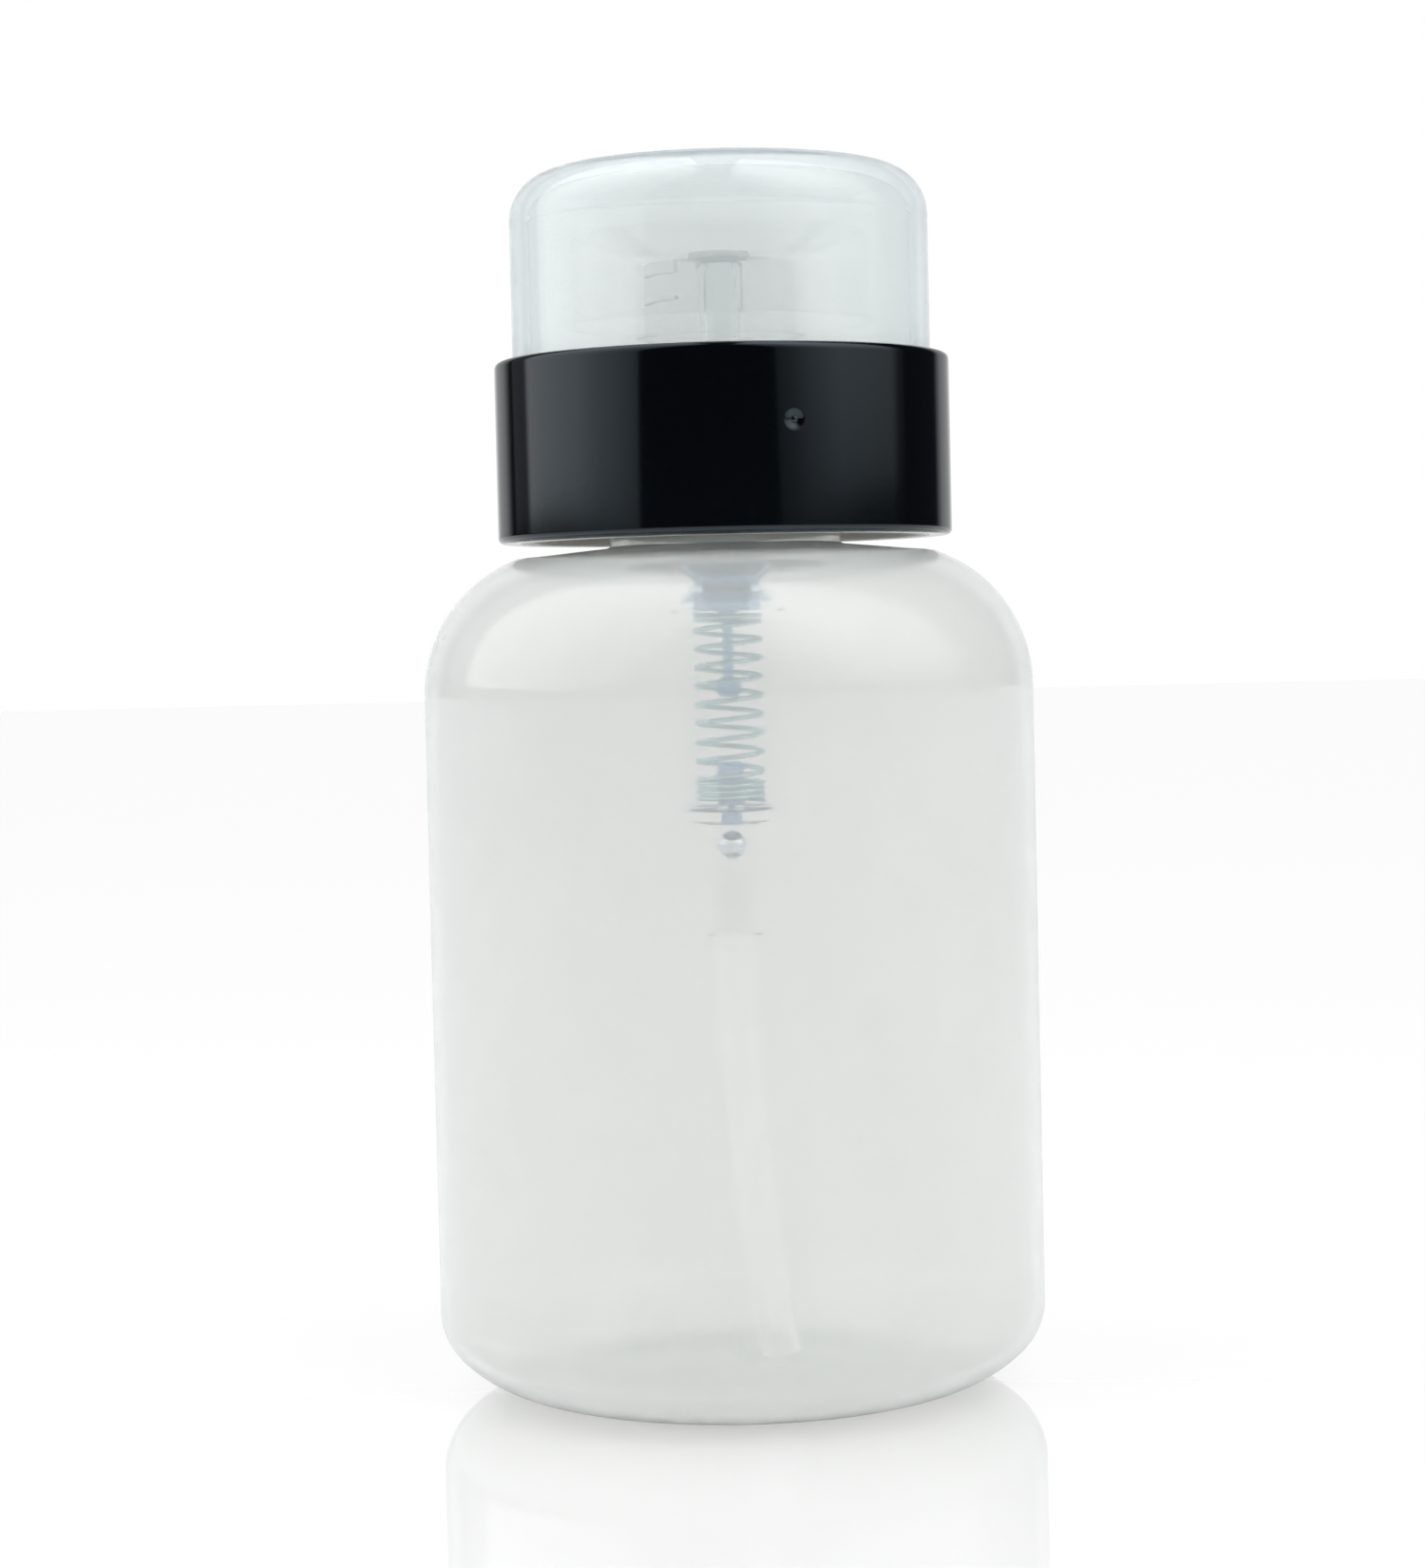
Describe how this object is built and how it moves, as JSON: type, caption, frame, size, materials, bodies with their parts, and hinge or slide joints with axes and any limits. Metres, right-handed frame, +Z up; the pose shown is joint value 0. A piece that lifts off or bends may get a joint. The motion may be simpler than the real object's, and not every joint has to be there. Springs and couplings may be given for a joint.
{
  "type": "pump dispenser bottle",
  "caption": "Translucent push-down dispenser bottle with a black collar, a dish-topped pump with spring and dip tube, and a clear lift-off cap.",
  "frame": {"origin": "centre of the bottle's base, on the plane that it stands on", "axes": "+Z up along the bottle's axis; the dip tube bends towards +X"},
  "size_m": [0.06, 0.06, 0.1195],
  "materials": {
    "pp_bottle": "translucent blown polypropylene",
    "black_gloss": "gloss black",
    "pp_natural": "natural moulded polypropylene",
    "pp_clear": "clarified moulded polypropylene",
    "blue_pe": "blue moulded polyethylene",
    "tube_pe": "extruded polyethylene",
    "foam_seal": "soft foam seal",
    "spring_steel": "drawn stainless wire",
    "ball_steel": "ground stainless ball",
    "cap_clear": "clear moulded cap"
  },
  "bodies": {
    "bottle": {"bottle": "pp_bottle"},
    "pump_body": {"pump_housing": "pp_clear", "neck_gasket": "foam_seal", "stem_guide": "pp_natural", "ball_cage": "blue_pe", "dip_tube": "tube_pe", "spring": "spring_steel"},
    "collar": {"collar_sleeve": "black_gloss", "threaded_closure": "pp_natural"},
    "piston": {"piston": "blue_pe"},
    "head": {"actuator_dish": "pp_clear", "outlet_insert": "pp_natural", "stem": "pp_clear", "piston_seat": "blue_pe"},
    "ball": {"inlet_ball": "ball_steel"},
    "cap": {"over_cap": "cap_clear"}
  },
  "joints": [
    {"name": "pump_lift", "type": "slide", "parent": "bottle", "child": "pump_body", "axis": [0, 0, 1], "range_m": [0, 0.004]},
    {"name": "collar_unscrew", "type": "hinge", "parent": "pump_body", "child": "collar", "pos_m": [0, 0, 0.0942], "axis": [0, 0, 1], "range_deg": [0, 450]},
    {"name": "pump_press", "type": "slide", "parent": "pump_body", "child": "piston", "axis": [0, 0, 1], "range_m": [-0.006, 0], "stiffness_N_per_m": 400, "springref_m": 0.006, "deforming": ["spring"]},
    {"name": "head_turn", "type": "hinge", "parent": "piston", "child": "head", "pos_m": [0, 0, 0.11], "axis": [0, 0, 1], "continuous": true},
    {"name": "ball_lift", "type": "slide", "parent": "pump_body", "child": "ball", "axis": [0, 0, 1], "range_m": [0, 0.0008]},
    {"name": "cap_lift", "type": "slide", "parent": "collar", "child": "cap", "axis": [0, 0, 1], "range_m": [0, 0.03]}
  ],
  "couplings": [
    {"joint": "pump_lift", "follows": "collar_unscrew", "m_per_rad": 0.00050532}
  ]
}
